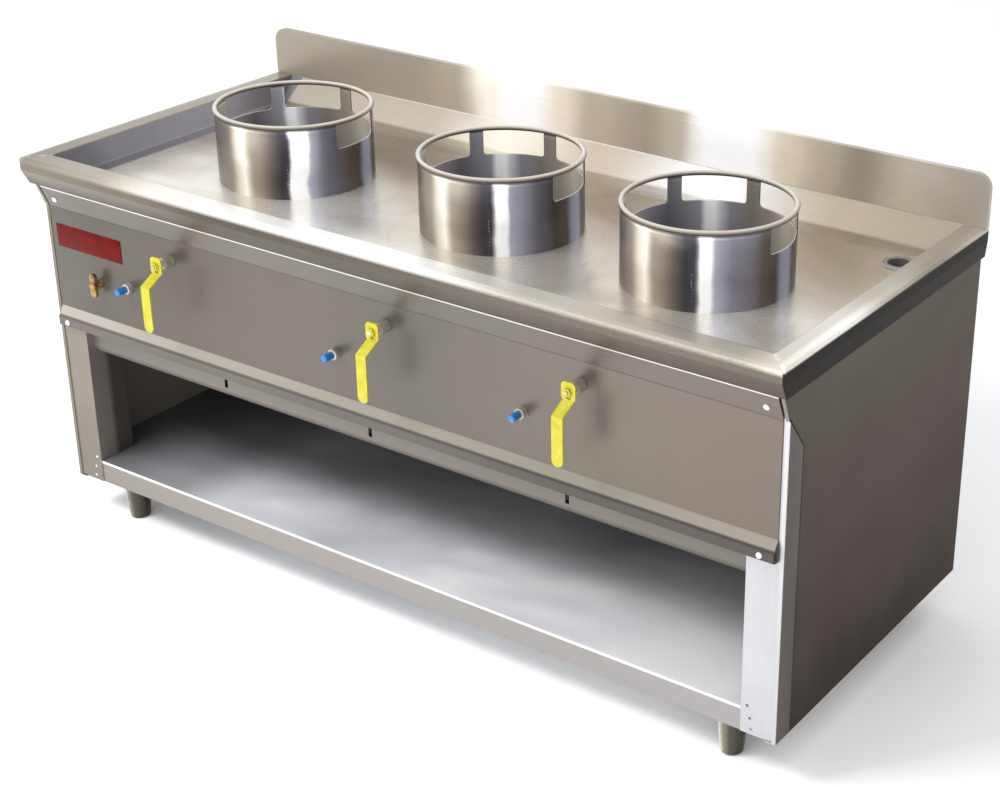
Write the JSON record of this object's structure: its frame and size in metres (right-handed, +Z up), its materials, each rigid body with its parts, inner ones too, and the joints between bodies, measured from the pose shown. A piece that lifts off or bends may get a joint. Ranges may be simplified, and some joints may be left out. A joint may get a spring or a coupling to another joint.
{
  "type": "wok range",
  "caption": "Floor-standing gas wok range with raised wok rings, a recessed worktop, yellow gas levers and an open base shelf",
  "frame": {"origin": "centre of the box on the floor", "axes": "+X to the right seen from the front, +Y to the back, +Z up"},
  "size_m": [1.8, 0.8, 0.947],
  "materials": {
    "steel_top": "brushed stainless worktop sheet",
    "steel_fascia": "brushed stainless control panel sheet",
    "steel_shelf": "brushed stainless shelf sheet",
    "steel_side": "darker brushed stainless side and inner sheet",
    "steel_bright": "plain turned stainless",
    "steel_polished": "polished stainless tube",
    "nickel": "nickel plated brass",
    "brass": "plain brass",
    "copper": "soft copper tube",
    "cast_iron": "bare grey iron",
    "pipe_black": "dark painted gas pipe",
    "lever_yellow": "yellow dipped coating on steel",
    "button_blue": "blue moulded push button",
    "plate_red": "plain red plate"
  },
  "bodies": {
    "range_frame": {"worktop": "steel_top", "backsplash": "steel_top", "control_fascia": "steel_fascia", "fascia_screws": "steel_bright", "bottom_shelf": "steel_shelf", "back_panel": "steel_side", "front_rail": "steel_fascia", "rear_rail": "steel_side", "side_panel_right": "steel_side", "side_panel_left": "steel_side", "front_post_right": "steel_fascia", "front_post_left": "steel_fascia", "base_rail_right": "steel_side", "base_rail_left": "steel_side", "foot_sockets": "steel_bright", "gas_manifold": "pipe_black", "gas_inlet_pipe": "pipe_black", "supply_pipes": "pipe_black", "injectors": "brass", "burner_carriers": "steel_side", "pilot_burners": "brass", "pilot_line": "copper", "pilot_cock_body": "brass", "drain_outlet": "steel_bright", "drain_pipe": "steel_side", "burner_head_1": "cast_iron", "mixing_tube_1": "cast_iron", "burner_pot_1": "steel_side", "valve_body_1": "nickel", "igniter_body_1": "nickel", "burner_head_2": "cast_iron", "mixing_tube_2": "cast_iron", "burner_pot_2": "steel_side", "valve_body_2": "nickel", "igniter_body_2": "nickel", "burner_head_3": "cast_iron", "mixing_tube_3": "cast_iron", "burner_pot_3": "steel_side", "valve_body_3": "nickel", "igniter_body_3": "nickel"},
    "gas_lever_1": {"valve_stem_1": "nickel", "valve_lever_1": "lever_yellow", "lever_nut_1": "lever_yellow"},
    "gas_lever_2": {"valve_stem_2": "nickel", "valve_lever_2": "lever_yellow", "lever_nut_2": "lever_yellow"},
    "gas_lever_3": {"valve_stem_3": "nickel", "valve_lever_3": "lever_yellow", "lever_nut_3": "lever_yellow"},
    "igniter_push_1": {"igniter_button_1": "button_blue"},
    "igniter_push_2": {"igniter_button_2": "button_blue"},
    "igniter_push_3": {"igniter_button_3": "button_blue"},
    "ring_1": {"wok_ring_1": "steel_polished"},
    "ring_2": {"wok_ring_2": "steel_polished"},
    "ring_3": {"wok_ring_3": "steel_polished"},
    "pilot_handle": {"pilot_cock_handle": "brass"},
    "foot_screw_1": {"foot_1": "steel_bright"},
    "foot_screw_2": {"foot_2": "steel_bright"},
    "foot_screw_3": {"foot_3": "steel_bright"},
    "foot_screw_4": {"foot_4": "steel_bright"}
  },
  "joints": [
    {"name": "gas_lever_1_turn", "type": "hinge", "parent": "range_frame", "child": "gas_lever_1", "pos_m": [-0.532, -0.363, 0.682], "axis": [0, -1, 0], "range_deg": [0, 90]},
    {"name": "gas_lever_2_turn", "type": "hinge", "parent": "range_frame", "child": "gas_lever_2", "pos_m": [0.03, -0.363, 0.682], "axis": [0, -1, 0], "range_deg": [0, 90]},
    {"name": "gas_lever_3_turn", "type": "hinge", "parent": "range_frame", "child": "gas_lever_3", "pos_m": [0.474, -0.363, 0.682], "axis": [0, -1, 0], "range_deg": [0, 90]},
    {"name": "igniter_1_push", "type": "slide", "parent": "range_frame", "child": "igniter_push_1", "axis": [0, 1, 0], "range_m": [0, 0.005], "stiffness_N_per_m": 800},
    {"name": "igniter_2_push", "type": "slide", "parent": "range_frame", "child": "igniter_push_2", "axis": [0, 1, 0], "range_m": [0, 0.005], "stiffness_N_per_m": 800},
    {"name": "igniter_3_push", "type": "slide", "parent": "range_frame", "child": "igniter_push_3", "axis": [0, 1, 0], "range_m": [0, 0.005], "stiffness_N_per_m": 800},
    {"name": "ring_1_lift", "type": "slide", "parent": "range_frame", "child": "ring_1", "axis": [0, 0, 1], "range_m": [0, 0.2]},
    {"name": "ring_2_lift", "type": "slide", "parent": "range_frame", "child": "ring_2", "axis": [0, 0, 1], "range_m": [0, 0.2]},
    {"name": "ring_3_lift", "type": "slide", "parent": "range_frame", "child": "ring_3", "axis": [0, 0, 1], "range_m": [0, 0.2]},
    {"name": "pilot_handle_turn", "type": "hinge", "parent": "range_frame", "child": "pilot_handle", "pos_m": [-0.748, -0.3413, 0.582], "axis": [0, -1, 0], "range_deg": [0, 90]},
    {"name": "foot_1_screw", "type": "slide", "parent": "range_frame", "child": "foot_screw_1", "axis": [0, 0, -1], "range_m": [0, 0.02]},
    {"name": "foot_2_screw", "type": "slide", "parent": "range_frame", "child": "foot_screw_2", "axis": [0, 0, -1], "range_m": [0, 0.02]},
    {"name": "foot_3_screw", "type": "slide", "parent": "range_frame", "child": "foot_screw_3", "axis": [0, 0, -1], "range_m": [0, 0.02]},
    {"name": "foot_4_screw", "type": "slide", "parent": "range_frame", "child": "foot_screw_4", "axis": [0, 0, -1], "range_m": [0, 0.02]}
  ]
}
